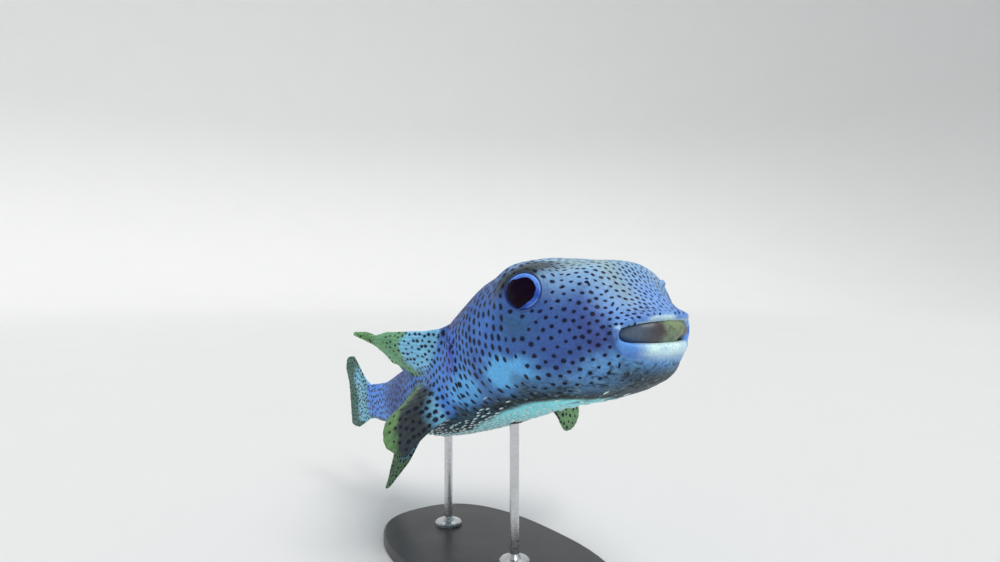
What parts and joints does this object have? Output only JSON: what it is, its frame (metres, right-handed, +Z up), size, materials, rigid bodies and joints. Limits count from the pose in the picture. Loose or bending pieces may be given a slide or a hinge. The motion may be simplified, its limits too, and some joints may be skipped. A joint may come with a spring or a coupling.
{
  "type": "spot-fin porcupinefish model on a display stand",
  "caption": "Life-size still model of a spotted porcupinefish, not puffed up, nose raised as if swimming, on two steel rods and a flat oval base.",
  "frame": {"origin": "middle of the underside of the stand's base, on the floor", "axes": "+X is the way the fish faces, along the base's length; +Y is the fish's left; +Z is up"},
  "size_m": [0.5348, 0.2018, 0.268],
  "materials": {
    "skin": "satin, spotted",
    "fin": "satin, spotted",
    "eye": "wet gloss",
    "beak": "satin",
    "stand_paint": "satin black",
    "stand_steel": "brushed"
  },
  "bodies": {
    "root": {"head": "skin", "lower_jaw": "skin", "trunk": "skin", "tail_peduncle": "skin", "pectoral_fin_right": "fin", "pectoral_fin_left": "fin", "dorsal_fin": "fin", "anal_fin": "fin", "caudal_fin": "fin", "eye_right": "eye", "eye_left": "eye", "tooth_plate_upper": "beak", "tooth_plate_lower": "beak", "stand_base": "stand_paint", "stand_rod_front": "stand_steel", "stand_rod_rear": "stand_steel"}
  },
  "joints": []
}
